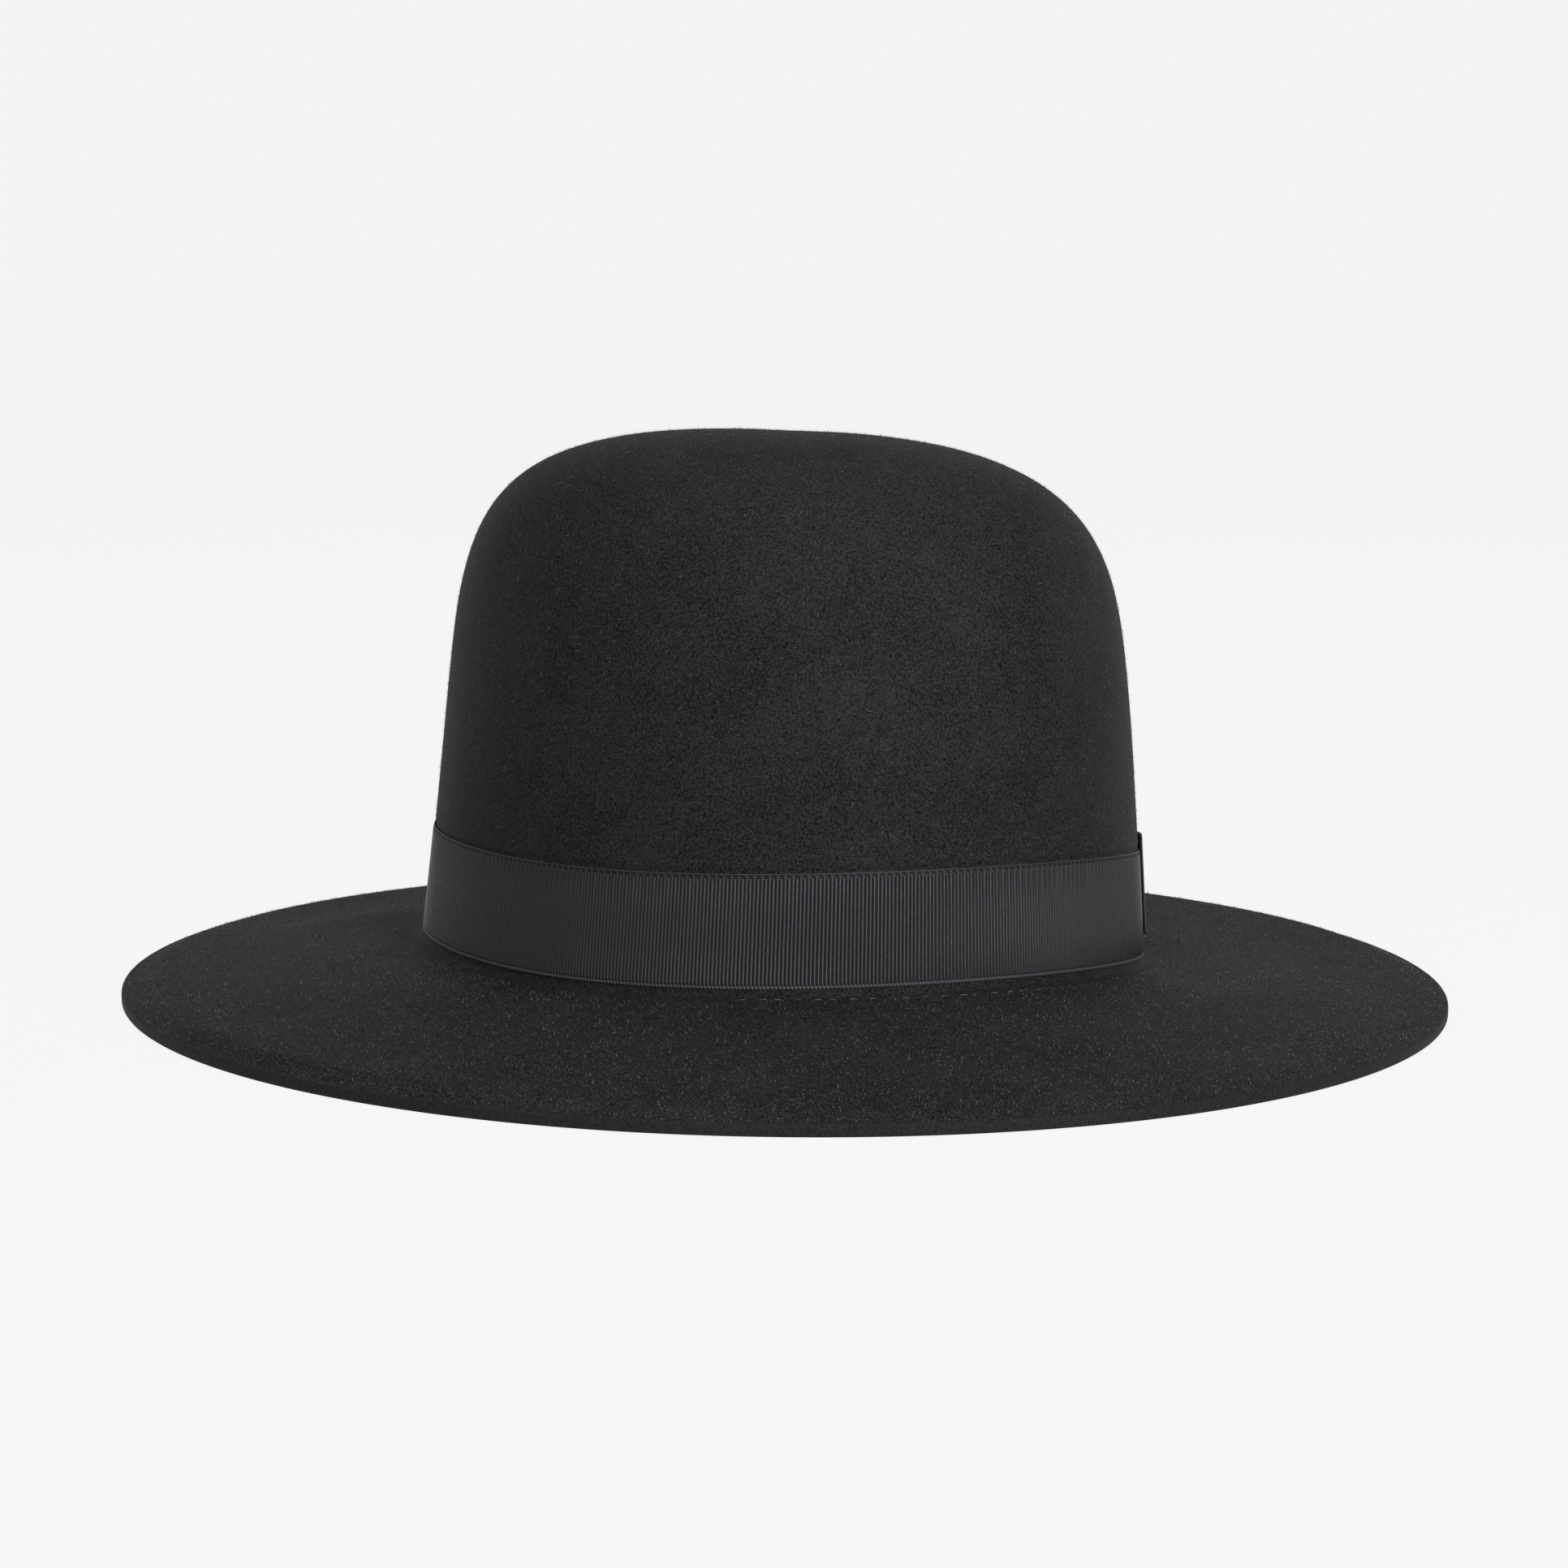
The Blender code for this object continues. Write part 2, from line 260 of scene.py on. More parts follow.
def oval_girth(outside):
    """Length once round the oval, a distance outside it."""
    x, y = oval(np.linspace(0, TURN, FINE_STEPS), outside)
    return np.hypot(np.diff(x), np.diff(y)).sum()


def grid_faces(rows, columns, closed_rows=False, closed_columns=False):
    """Four-sided faces of a grid of rows x columns points, wrapped round where closed."""
    row = np.arange(rows if closed_rows else rows - 1)[:, None]
    column = np.arange(columns if closed_columns else columns - 1)[None, :]
    below = (row + 1) % rows
    beside = (column + 1) % columns
    here, under = row * columns, below * columns
    corners = [here + column, under + column, under + beside, here + beside]
    return np.stack(corners, axis=-1).reshape(-1, 4)


def add_piece(name, points, quads, material, triangles=None, marks=None):
    """Makes a smooth mesh object from arrays of points and faces, with one float mark per point by name."""
    points = np.asarray(points, np.float32).reshape(-1, 3)
    triangles = np.empty((0, 3), int) if triangles is None else triangles
    corners = np.concatenate([quads.reshape(-1), triangles.reshape(-1)])
    sizes = np.concatenate([np.full(len(quads), 4), np.full(len(triangles), 3)])
    mesh = bpy.data.meshes.new(name)
    mesh.vertices.add(len(points))
    mesh.vertices.foreach_set("co", points.reshape(-1))
    mesh.loops.add(len(corners))
    mesh.loops.foreach_set("vertex_index", corners.astype(np.int32))
    mesh.polygons.add(len(sizes))
    mesh.polygons.foreach_set("loop_start", np.concatenate([[0], np.cumsum(sizes)[:-1]]).astype(np.int32))
    mesh.update(calc_edges=True)
    mesh.shade_smooth()
    for mark, values in (marks or {}).items():
        layer = mesh.attributes.new(mark, "FLOAT", "POINT")
        layer.data.foreach_set("value", np.asarray(values, np.float32).reshape(-1))
    mesh.materials.append(material)
    piece = bpy.data.objects.new(name, mesh)
    bpy.context.scene.collection.objects.link(piece)
    return piece


class Wire:
    """A socket of a material's nodes. Arithmetic on it adds Math nodes."""

    def __init__(self, surface, socket):
        self.surface = surface
        self.socket = socket

    def math(self, operation, *others):
        values = {index: value for index, value in enumerate((self, *others))}
        return self.surface.add("ShaderNodeMath", {"operation": operation}, values)

    def __add__(self, other):
        return self.math("ADD", other)

    def __sub__(self, other):
        return self.math("SUBTRACT", other)

    def __mul__(self, other):
        return self.math("MULTIPLY", other)

    def __rsub__(self, other):
        return self.surface.add("ShaderNodeMath", {"operation": "SUBTRACT"}, {0: other, 1: self})

    __radd__ = __add__
    __rmul__ = __mul__

    def between(self, low, high):
        """0 below low, 1 above high, smooth between."""
        settings = {"interpolation_type": "SMOOTHSTEP"}
        values = {"Value": self, "From Min": low, "From Max": high}
        return self.surface.add("ShaderNodeMapRange", settings, values)


class Surface:
    """A material under construction: a Principled shader and the nodes that feed it."""

    def __init__(self, name):
        self.material = bpy.data.materials.new(name)
        self.material.use_nodes = True
        self.nodes = self.material.node_tree.nodes
        self.links = self.material.node_tree.links
        self.shader = self.nodes["Principled BSDF"]

    def plug(self, node, values):
        for key, value in values.items():
            if isinstance(key, int):
                socket = node.inputs[key]
            else:
                socket = next(s for s in node.inputs if s.enabled and key in (s.name, s.identifier))
            if isinstance(value, Wire):
                self.links.new(value.socket, socket)
            else:
                socket.default_value = value

    def add(self, kind, settings, values, output=0):
        """Adds a node: its settings first, then the values or links of its sockets."""
        node = self.nodes.new(kind)
        for key, value in settings.items():
            setattr(node, key, value)
        self.plug(node, values)
        if isinstance(output, str):
            return Wire(self, next(s for s in node.outputs if s.enabled and s.name == output))
        return Wire(self, node.outputs[output])

    def place(self):
        """The piece's own coordinates, in metres."""
        return self.add("ShaderNodeTexCoord", {}, {}, "Object")

    def mark(self, name):
        """A float attribute of the piece."""
        return self.add("ShaderNodeAttribute", {"attribute_name": name}, {}, "Fac")

    def noise(self, vector, size, detail=2.0, roughness=0.5, distortion=0.0):
        """Soft random values, 0 to 1, with features of a size in metres."""
        values = {
            "Vector": vector,
            "Scale": 1 / size,
            "Detail": detail,
            "Roughness": roughness,
            "Distortion": distortion,
        }
        return self.add("ShaderNodeTexNoise", {}, values, "Fac")

    def mixed(self, share, first, second):
        """A colour between two colours."""
        values = {"Factor": share, "A": first, "B": second}
        return self.add("ShaderNodeMix", {"data_type": "RGBA"}, values, "Result")

    def bump(self, height, depth):
        """A normal from a height, 0 to 1, of a depth in metres."""
        return self.add("ShaderNodeBump", {}, {"Height": height, "Distance": depth, "Strength": 1.0})

    def finish(self, **values):
        self.plug(self.shader, {key.replace("_", " "): value for key, value in values.items()})
        return self.material


def felt_finish():
    """Black wool felt: fine tangled nap, paler fibre tips, a few soft cloudy patches, an even cut edge."""
    surface = Surface("black_felt")
    place = surface.place()
    grain = surface.noise(place, 0.5 * MM, 2.0, 0.6)
    tangle = surface.noise(place, 1.1 * MM, 3.0, 0.65, 1.4)
    cloud = surface.noise(place, 22 * MM, 2.0)
    blotch = surface.noise(place, 5 * MM, 3.0, 0.6)
    tips = surface.noise(place, 0.65 * MM, 1.0, 0.5, 2.4).between(0.60, 0.78)
    cut = surface.mark("cut_edge")
    shade = 0.66 * grain + 0.18 * tangle + 0.1 * cloud + 0.06 * blotch
    black, grey = (0.0004, 0.0004, 0.0010, 1), (0.0205, 0.0202, 0.0205, 1)
    body = surface.mixed(shade.between(0.345, 0.655), black, grey)
    tipped = surface.mixed(tips * 0.6, body, (0.040, 0.0395, 0.040, 1))
    colour = surface.mixed(cut * 0.5, tipped, (0.013, 0.0128, 0.0128, 1))
    height = 0.5 * grain + 0.6 * tangle + 0.35 * tips
    return surface.finish(
        Base_Color=colour,
        Roughness=0.62,
        Normal=surface.bump(height, 0.3 * MM),
        Specular_IOR_Level=0.06,
    )


def ribbon_finish():
    """Ribbed ribbon: glossy rounded ribs over dull grooves with painted shade in them, woven edges with a
    painted highlight on their raised threads and painted shade between them, slubs.
    """
    surface = Surface("ribbed_ribbon")
    place = surface.place()
    rib = surface.mark("rib")
    edge = surface.mark("woven_edge")
    slub = surface.noise(place, 0.3 * MM, 2.0, 0.6)
    drift = surface.noise(place, 9 * MM, 2.0)
    share = rib * (0.6 + 0.6 * slub)
    # Painted shade: the base colour darkens from the rib tops down into the grooves, following the rib
    # relief.
    groove_painted_shade, ridge = (0.0008, 0.0009, 0.0012, 1), (0.0040, 0.0043, 0.0050, 1)
    # Painted highlight and painted shade in the woven edges: the raised threads are painted much paler than
    # the ribbon and the spaces between them darker, following the relief.
    painted_shade_between_threads, raised_thread_painted_highlight = (0.0006, 0.0007, 0.0009, 1), (0.034, 0.036, 0.040, 1)
    body = surface.mixed(share.between(0.05, 1.0), groove_painted_shade, ridge)
    threads = surface.mixed(share.between(0.15, 0.8), painted_shade_between_threads, raised_thread_painted_highlight)
    colour = surface.mixed(edge, body, threads)
    toned = surface.mixed(0.25 * drift, colour, (0.0028, 0.0031, 0.0036, 1))
    tints = {"Sheen Tint": (0.8, 0.88, 1.0, 1), "Specular Tint": (0.92, 0.95, 1.0, 1)}
    surface.plug(surface.shader, tints)
    return surface.finish(
        Base_Color=toned,
        Roughness=0.72 - 0.44 * rib + 0.1 * slub,
        Normal=surface.bump(slub, 0.04 * MM),
        Specular_IOR_Level=0.26,
        Sheen_Weight=0.03,
        Sheen_Roughness=0.3,
    )


def leather_finish():
    """Smooth black leather with a fine pebbled grain."""
    surface = Surface("sweatband_leather_black")
    place = surface.place()
    cell = surface.add("ShaderNodeTexVoronoi", {}, {"Vector": place, "Scale": 1 / (0.9 * MM)}, "Distance")
    fine = surface.noise(place, 0.3 * MM, 3.0)
    wear = surface.noise(place, 14 * MM, 3.0, 0.6)
    colour = surface.mixed(wear.between(0.35, 0.7), (0.011, 0.0105, 0.0105, 1), (0.022, 0.021, 0.02, 1))
    return surface.finish(
        Base_Color=colour,
        Roughness=0.38 + 0.2 * wear,
        Normal=surface.bump(cell.between(0.0, 0.6) + 0.3 * fine, 0.05 * MM),
        Specular_IOR_Level=0.4,
    )


def thread_finish(name, dark, light):
    """Sewing thread or loose fibre: colour varied from one to the next."""
    surface = Surface(name)
    place = surface.place()
    each = surface.noise(place, 2.5 * MM, 1.0)
    fine = surface.noise(place, 0.15 * MM, 1.0)
    colour = surface.mixed(each.between(0.35, 0.65), dark, light)
    return surface.finish(Base_Color=colour, Roughness=0.6 + 0.2 * fine, Specular_IOR_Level=0.3)


def nap_finish():
    """Nap fibres: mostly black, some pale, each with its own shade."""
    surface = Surface("nap_fibre")
    each = surface.noise(surface.place(), 0.35 * MM, 1.0)
    colour = surface.mixed(each.between(0.42, 0.62), (0.0006, 0.0006, 0.0010, 1), (0.14, 0.138, 0.14, 1))
    return surface.finish(Base_Color=colour, Roughness=0.7 + 0.2 * each, Specular_IOR_Level=0.05)


def section_rises(count, press_fade):
    """Rises from the crown's top to above the band's press, evenly spaced along the section's length."""
    turn = np.linspace(0, math.pi / 2, FINE_STEPS)
    rises = CROWN_HEIGHT * np.sin(turn) ** (2 / SHOULDER_RISE_POWER)
    radii = OVAL_LENGTH / 2 * section_share(rises)
    along = np.concatenate([[0], np.cumsum(np.hypot(np.diff(rises), np.diff(radii)))])
    start = np.interp(BAND_HEIGHT + GAP + press_fade, rises, along)
    return np.interp(np.linspace(along[-1], start, count + 1)[1:], along, rises)


def brim_height(direction, share, from_edge):
    """Sum of folds, each height * exp(-turn^2) * smooth(1 - |along|), and of the curl inside the rim."""
    added = np.zeros_like(direction)
    for fold_direction, spread, middle, reach, height in BRIM_FOLDS:
        apart = direction - math.radians(fold_direction)
        turn = np.angle(np.exp(1j * apart)) / math.radians(spread)
        along = (share - middle) / reach
        added = added + height * FELT * np.exp(-(turn**2)) * smooth(1 - np.abs(along))
    curl = round_the_hat(CURL_STRENGTH, direction) * smooth(from_edge / CURL_WIDTH)
    return added + CURL_RISE * curl * smooth(share / CURL_START)


def blocked_unevenness(direction, level):
    """Slight waves left by blocking: products of a cosine round the hat and one up it, summed."""
    added = 0.0
    for waves_round, start_round, waves_up, start_up, height in BLOCKING_WAVES:
        around = np.cos(waves_round * direction + start_round)
        added = added + height * around * np.cos(waves_up * level + start_up)
    return added


def felt_sheet(press, press_fade, break_radius):
    """Rings of the felt's upper side, from the crown's top to the rim, with their distances to the edge."""
    direction = np.arange(FELT_COLUMNS) * TURN / FELT_COLUMNS
    dome = section_rises(DOME_ROWS, press_fade)
    rings = [crown_point(direction, rise, 0.0) for rise in dome]
    fade_rises = np.linspace(BAND_HEIGHT + GAP + press_fade, BAND_HEIGHT + GAP, PRESS_ROWS)[1:]
    for rise in fade_rises:
        pressed = smooth((BAND_HEIGHT + GAP + press_fade - rise) / press_fade)
        rings.append(crown_point(direction, rise, -press * pressed))
    foot = break_radius - BREAK_DROP
    for rise in np.linspace(BAND_HEIGHT + GAP, foot, WALL_ROWS)[1:]:
        rings.append(crown_point(direction, rise, -press))
    corner = crown_point(direction, -BREAK_DROP, -press)
    edge = np.stack([*oval(direction, BRIM_WIDTH - RIM_ROUND), np.full(FELT_COLUMNS, FELT)], axis=-1)
    span = np.linalg.norm(edge - corner, axis=1, keepdims=True)
    brim_start = corner + (edge - corner) * break_radius / span
    wall_foot = rings[-1]
    for turn in np.linspace(0, 1, BREAK_ROWS + 1)[1:]:
        rings.append((1 - turn) ** 2 * wall_foot + 2 * turn * (1 - turn) * corner + turn**2 * brim_start)
    inner_rows = np.linspace(1, 0, BRIM_ROWS - CURL_ROWS + 1)[1:-1]
    level_part = inner_rows * (BRIM_WIDTH - CURL_WIDTH) + CURL_WIDTH
    distances = np.concatenate([level_part, np.linspace(CURL_WIDTH, RIM_ROUND, CURL_ROWS)])
    for from_edge in distances:
        share = 1 - (from_edge - RIM_ROUND) / (BRIM_WIDTH - RIM_ROUND)
        ring = brim_start + (edge - brim_start) * share
        ring[:, 2] += brim_height(direction, share, from_edge - RIM_ROUND)
        rings.append(ring)
    from_edge = np.concatenate([np.full(len(rings) - len(distances), BRIM_WIDTH), distances])
    return np.array(rings), from_edge


def sheet_normals(rings, top):
    """Cross product of the differences down the section and round the hat, made unit length."""
    padded = np.concatenate([np.tile(top, (1, rings.shape[1], 1)), rings, rings[-1:]])
    down = padded[2:] - padded[:-2]
    around = np.roll(rings, -1, axis=1) - np.roll(rings, 1, axis=1)
    normals = np.cross(down, around)
    return normals / np.linalg.norm(normals, axis=2, keepdims=True)


def rim_rings():
    """Quarter turns at the rim's upper and lower corners with the cut face between, then the flat foot."""
    direction = np.arange(FELT_COLUMNS) * TURN / FELT_COLUMNS
    turn = np.linspace(0, math.pi / 2, 5)
    upper = [(RIM_ROUND * (1 - math.sin(a)), FELT - RIM_ROUND * (1 - math.cos(a))) for a in turn[1:]]
    lower = [(RIM_ROUND * (1 - math.cos(a)), RIM_ROUND * (1 - math.sin(a))) for a in turn]
    section = upper + [(0.0, FELT / 2)] + lower + [(RIM_ROUND + RIM_FOOT, 0.0)]
    rings = [
        np.stack([*oval(direction, BRIM_WIDTH - inwards), np.full(FELT_COLUMNS, height)], axis=-1)
        for inwards, height in section
    ]
    return np.array(rings)


def felt_surface():
    """The felt's upper side with its unevenness, as rings, normals and each ring's distance to the edge."""
    top = crown_point(np.zeros(1), CROWN_HEIGHT)
    rings, from_edge = felt_sheet(BAND_PRESS, PRESS_FADE, BREAK_RADIUS)
    normals = sheet_normals(rings, top)
    direction = np.arange(FELT_COLUMNS)[None, :] * TURN / FELT_COLUMNS
    level = np.linspace(0, 3, len(rings))[:, None]
    free = smooth(level / 0.3) * smooth((np.abs(level - 1.45) - 0.25) / 0.3)
    free = free * smooth((from_edge[:, None] - RIM_ROUND) / CURL_WIDTH)
    rings = rings + (free * blocked_unevenness(direction, level))[..., None] * normals
    return rings, normals, from_edge, top


def felt_piece(material):
    """One closed felt shell: upper side, rim, and an under side of every second ring of a softer section."""
    upper, _, _, top = felt_surface()
    soft, from_edge = felt_sheet(INNER_PRESS, INNER_PRESS_FADE, INNER_BREAK_RADIUS)
    under = soft - FELT * sheet_normals(soft, top)
    under = under[from_edge > RIM_ROUND + RIM_FOOT + FELT / 2][::-2]
    rim = rim_rings()
    rings = np.concatenate([upper, rim, under])
    cut = np.zeros(rings.shape[:2])
    cut[len(upper) - 1 : len(upper) + len(rim) - 1] = 1.0
    columns = FELT_COLUMNS
    outer_pole = len(rings) * columns
    last = outer_pole - columns
    column = np.arange(columns)
    beside = (column + 1) % columns
    triangles = np.concatenate(
        [
            np.stack([np.full(columns, outer_pole), column, beside], axis=1),
            np.stack([np.full(columns, outer_pole + 1), last + beside, last + column], axis=1),
        ]
    )
    inner_top = top - FELT * (stand(0, 0, 1) - stand(0, 0, 0))
    points = np.concatenate([rings.reshape(-1, 3), top, inner_top])
    marks = {"cut_edge": np.concatenate([cut.reshape(-1), [0, 0]])}
    quads = grid_faces(len(rings), columns, closed_columns=True)
    return add_piece("felt_shell", points, quads, material, triangles, marks)


def rib_relief(distance, across, width):
    """Height of the weave, 0 to 1, at a distance along the ribbon and a place across it.

    In the body a rib is a sine across each pitch to the power 0.6: a round top between narrow grooves.
    Towards the upper edge every second rib bends aside, then slanted dots two ribs apart follow, then a
    cord along the very edge. At the lower edge the ribs lean over into short strokes.
    """
    phase = distance / RIB_PITCH
    upper = np.clip((across - width + WOVEN_EDGE) / WOVEN_EDGE, 0, 1)
    lower = np.clip((WOVEN_EDGE - across) / WOVEN_EDGE, 0, 1)
    second = np.floor(phase) % 2
    bent = phase + 0.5 * smooth(upper / 0.3) * second - 0.75 * lower
    ridge = np.abs(np.sin(math.pi * bent)) ** 0.6 * (1 - smooth((upper - 0.1) / 0.2))
    dots = np.sin(math.pi * (phase / 2 + 0.45 * upper)) ** 4 * np.sin(TURN * (upper - 0.25) / 0.5) ** 2
    dots = dots * smooth((upper - 0.2) / 0.1) * (1 - smooth((upper - 0.75) / 0.05))
    cord = 0.75 * smooth((upper - 0.82) / 0.08)
    break_off = 1 - 0.8 * smooth((lower - 0.12) / 0.1) * (1 - smooth((lower - 0.32) / 0.1))
    return np.maximum(np.maximum(ridge * break_off, dots), cord) * (1 - 0.6 * smooth((lower - 0.85) / 0.1))


def rib_distances(ribs, pitch):
    """Distances along a ribbon, at the same few places on every rib."""
    return ((np.arange(ribs)[:, None] + np.array(RIB_PLACES)) * pitch).reshape(-1)


def strip_rows(width):
    """Places across a ribbon: close together in the two woven edges, wide apart between them."""
    edge = np.linspace(0, WOVEN_EDGE, 9)
    body = np.linspace(WOVEN_EDGE, width - WOVEN_EDGE, 4)[1:-1]
    return np.concatenate([edge, body, width - edge[::-1]])


def woven_edge(across, width):
    """1 in the two woven edges and 0 between them, with a soft step."""
    inwards = np.minimum(across, width - across) / WOVEN_EDGE
    return 1 - smooth((inwards - 0.75) / 0.25)


def band_piece(material):
    """Ribbon round the crown: a closed grid of distance round x place across, raised by the rib relief."""
    girth = oval_girth(BAND_OUTSIDE)
    ribs = 2 * round(girth / RIB_PITCH / 2)
    distance = rib_distances(ribs, girth / ribs)
    columns = len(distance)
    rows = strip_rows(BAND_HEIGHT)[::-1]
    weave_distance = distance * ribs * RIB_PITCH / girth
    relief = rib_relief(weave_distance[None, :], rows[:, None], BAND_HEIGHT)
    direction = band_direction(distance - girth / 2, math.pi)
    outside = BAND_OUTSIDE + RIB_DEPTH * (relief - 1)
    rounded = RIBBON / 4 * (1 - smooth(np.minimum(rows, BAND_HEIGHT - rows) / (0.3 * MM)))
    face = crown_point(direction[None, :], rows[:, None], outside - rounded[:, None])
    back_rows = np.array([0.0, BAND_HEIGHT])
    back = crown_point(direction[None, :], back_rows[:, None], BAND_OUTSIDE - RIBBON)
    points = np.concatenate([face, back])
    edge = woven_edge(rows, BAND_HEIGHT)[:, None] * np.ones(columns)
    marks = {
        "rib": np.concatenate([relief, np.zeros((2, columns))]),
        "woven_edge": np.concatenate([edge, np.zeros((2, columns))]),
    }
    quads = grid_faces(len(points), columns, closed_rows=True, closed_columns=True)
    return add_piece("band_ribbon_woven", points, quads, material, marks=marks)


def strip_piece(name, path, normal, across, width, distance, material, place):
    """Ribbon along a path: each path point moved out by the weave, at each place across it.

    path and normal are pairs of arrays, place(first, second, across) puts them on the hat.
    """
    relief = rib_relief(distance[:, None], across[None, :], width)
    lift = RIBBON / 2 + RIB_DEPTH * (relief - 1)
    ends = across[[-1, len(across) // 2, 0]]
    first, second = path[0][:, None], path[1][:, None]
    first_out, second_out = normal[0][:, None], normal[1][:, None]
    face = place(first + first_out * lift, second + second_out * lift, across)
    back = place(first - first_out * RIBBON / 2, second - second_out * RIBBON / 2, ends)
    points = np.concatenate([face, back], axis=1)
    columns = points.shape[1]
    quads = grid_faces(len(distance), columns, closed_columns=True)
    end_columns = np.arange(columns)
    first_cap = np.stack([np.full(columns - 2, 0), end_columns[1:-1], end_columns[2:]], axis=1)
    last_cap = (len(distance) - 1) * columns + first_cap[:, ::-1]
    padding = np.zeros((len(distance), len(ends)))
    edge = woven_edge(across, width)[None, :] * np.ones((len(distance), 1))
    marks = {
        "rib": np.concatenate([relief, padding], axis=1),
        "woven_edge": np.concatenate([edge, padding], axis=1),
    }
    return add_piece(name, points, quads, material, np.concatenate([first_cap, last_cap]), marks)


def bow_loop_piece(material):
    """One ribbon folded flat into two loops: a racetrack of two straight layers and two half-round folds."""
    inner = BAND_OUTSIDE + GAP + RIBBON / 2
    fold = (BOW_FOLDED - RIBBON) / 2
    half = BOW_LENGTH / 2 - RIBBON / 2 - fold
    straight = 2 * half
    bend = math.pi * fold
    total = 2 * (straight + bend)
    ribs = round(total / RIB_PITCH)
    distance = rib_distances(ribs, total / ribs)
    step = np.mod(distance, total)
    on_face = step < straight
    on_front_fold = (step >= straight) & (step < straight + bend)
    on_back = (step >= straight + bend) & (step < 2 * straight + bend)
    fold_turn = np.where(on_front_fold, (step - straight) / fold, (step - 2 * straight - bend) / fold)
    side = np.where(on_front_fold, 1.0, -1.0)
    along = np.where(on_face, step - half, np.where(on_back, half - (step - straight - bend), side * half))
    out = np.where(on_face, 2 * fold, 0.0)
    on_fold = ~(on_face | on_back)
    along = np.where(on_fold, side * (half + fold * np.sin(fold_turn)), along)
    out = np.where(on_fold, fold + side * fold * np.cos(fold_turn), out)
    normal_along = np.where(on_fold, side * np.sin(fold_turn), 0.0)
    normal_out = np.where(on_fold, side * np.cos(fold_turn), np.where(on_face, 1.0, -1.0))
    puff = smooth(np.abs(along) / BOW_PUFF_START) * smooth((half - np.abs(along)) / BOW_PUFF_END)
    out = out + BOW_PUFF * np.where(on_face, puff, 0)

    def place(first, second, across):
        return crown_point(band_direction(first), BOW_LIFT + across[None, :] + 0 * first, inner + second)

    across = strip_rows(BAND_HEIGHT)
    path, normal = (along, out), (normal_along, normal_out)
    return strip_piece("bow_loop_ribbon", path, normal, across, BAND_HEIGHT, distance, material, place)


def bow_knot_piece(material):
    """Short strip over the loops: up the front between two rounded bends, with its ends turned in behind."""
    face = BAND_OUTSIDE + GAP + BOW_FOLDED + GAP + RIBBON / 2 + BOW_PUFF
    low, high = BOW_LIFT - GAP - RIBBON / 2, BOW_LIFT + BAND_HEIGHT + GAP + RIBBON / 2
    bend = KNOT_BEND
    corners = [
        (BAND_OUTSIDE + GAP / 2, low),
        (face - bend, low),
        (face - bend, low + bend),
        (face - bend, high - bend),
        (face - bend, high),
        (GAP / 2 + RIBBON, high),
    ]
    quarter = np.linspace(0, math.pi / 2, 9)
    lower = [(corners[2][0] + bend * math.sin(a), corners[2][1] - bend * math.cos(a)) for a in quarter]
    upper = [(corners[3][0] + bend * math.cos(a), corners[3][1] + bend * math.sin(a)) for a in quarter]
    outline = np.array([corners[0], *lower, *upper, corners[5]])
    steps = np.concatenate([[0], np.cumsum(np.linalg.norm(np.diff(outline, axis=0), axis=1))])
    ribs = round(steps[-1] / RIB_PITCH)
    distance = rib_distances(ribs, steps[-1] / ribs)
    out = np.interp(distance, steps, outline[:, 0])
    rise = np.interp(distance, steps, outline[:, 1])
    slope_out, slope_rise = np.gradient(out), np.gradient(rise)
    length = np.hypot(slope_out, slope_rise)
    normal = (slope_rise / length, -slope_out / length)
    middle = (low + high) / 2

    def place(first, second, across):
        waist = 1 - KNOT_WAIST * np.exp(-(((second - middle) / KNOT_WAIST_REACH) ** 2))
        along = (KNOT_LENGTH / 2 - across[None, :]) * waist
        return crown_point(band_direction(along), second, first)

    across = strip_rows(KNOT_LENGTH)
    return strip_piece("bow_knot_ribbon", (out, rise), normal, across, KNOT_LENGTH, distance, material, place)


def sweatband_piece(material):
    """Leather strip inside the crown: a closed grid round the hat with half-round upper and lower edges."""
    outer = -INNER_PRESS - FELT - GAP
    middle = outer - SWEAT_CLOTH / 2
    radius = SWEAT_CLOTH / 2
    direction = np.arange(SWEAT_COLUMNS) * TURN / SWEAT_COLUMNS
    low, high = SWEAT_LIFT + radius, SWEAT_LIFT + SWEAT_HEIGHT - radius
    turn = np.linspace(0, math.pi, 7)
    section = [(high + radius * math.sin(a), middle - radius * math.cos(a)) for a in turn]
    section += [(rise, middle + radius) for rise in np.linspace(high, low, 14)[1:-1]]
    section += [(low - radius * math.sin(a), middle + radius * math.cos(a)) for a in turn]
    section += [(rise, middle - radius) for rise in np.linspace(low, high, 14)[1:-1]]
    ripple = sum(height * np.cos(waves * direction + start) for waves, start, height in SWEAT_RIPPLES)
    rings = []
    for rise, outside in section:
        free = smooth((rise - SWEAT_LIFT) / SWEAT_HEIGHT)
        rings.append(crown_point(direction, rise, outside - free * (np.abs(ripple) + ripple)))
    quads = grid_faces(len(rings), SWEAT_COLUMNS, closed_rows=True, closed_columns=True)
    return add_piece("sweatband_leather_strip", np.array(rings), quads, material)


def tubes(centres, radius, sides):
    """Rings of sides points round each centre line: centres is (lines, steps, 3), radius (lines, steps)."""
    along = np.gradient(centres, axis=1)
    along /= np.linalg.norm(along, axis=2, keepdims=True) + 1e-12
    helper = np.where(np.abs(along[..., 2:3]) < 0.9, [0.0, 0.0, 1.0], [1.0, 0.0, 0.0])
    first = np.cross(along, helper)
    first /= np.linalg.norm(first, axis=2, keepdims=True)
    second = np.cross(along, first)
    turn = np.arange(sides) * TURN / sides
    ring = np.cos(turn)[:, None] * first[..., None, :] + np.sin(turn)[:, None] * second[..., None, :]
    return centres[..., None, :] + ring * radius[..., None, None]


